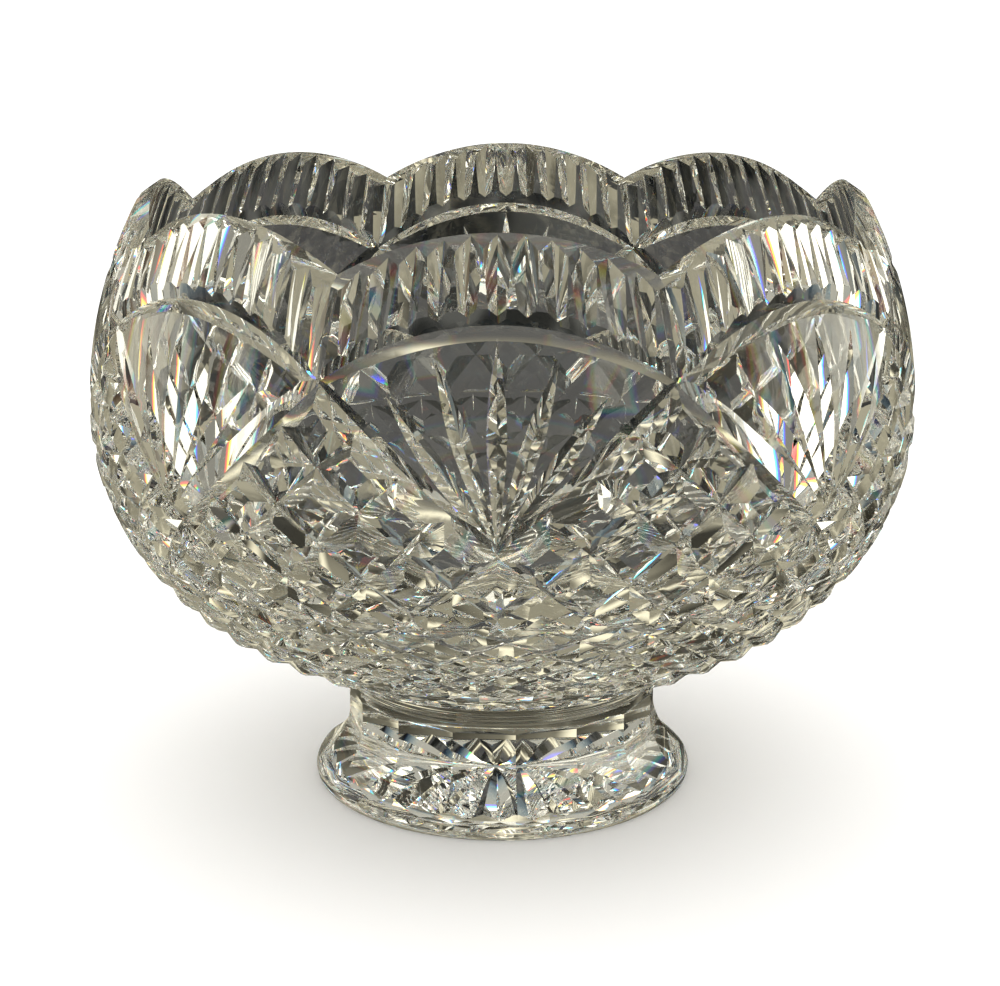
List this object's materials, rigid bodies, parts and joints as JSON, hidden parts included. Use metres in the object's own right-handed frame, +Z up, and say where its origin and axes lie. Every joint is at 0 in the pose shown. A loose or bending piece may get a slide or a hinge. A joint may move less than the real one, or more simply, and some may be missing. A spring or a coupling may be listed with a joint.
{
  "type": "footed bowl",
  "caption": "Footed cut crystal bowl with a scalloped rim, leaf fans over a field of cut diamonds, a smooth neck and a facetted round foot.",
  "frame": {"origin": "on the table under the middle of the foot", "axes": "+Z up along the bowl's axis; -Y faces the viewer and points at the middle of one scallop"},
  "size_m": [0.2534, 0.2534, 0.1905],
  "materials": {
    "crystal_bowl": "clear lead crystal, deep cut outside and smooth polished inside",
    "crystal_wafer": "clear lead crystal, smooth with fine turned streaks",
    "crystal_foot": "clear lead crystal, flat polished facets and a star cut underneath"
  },
  "bodies": {
    "root": {"bowl": "crystal_bowl", "neck_wafer": "crystal_wafer", "foot": "crystal_foot"}
  },
  "joints": []
}
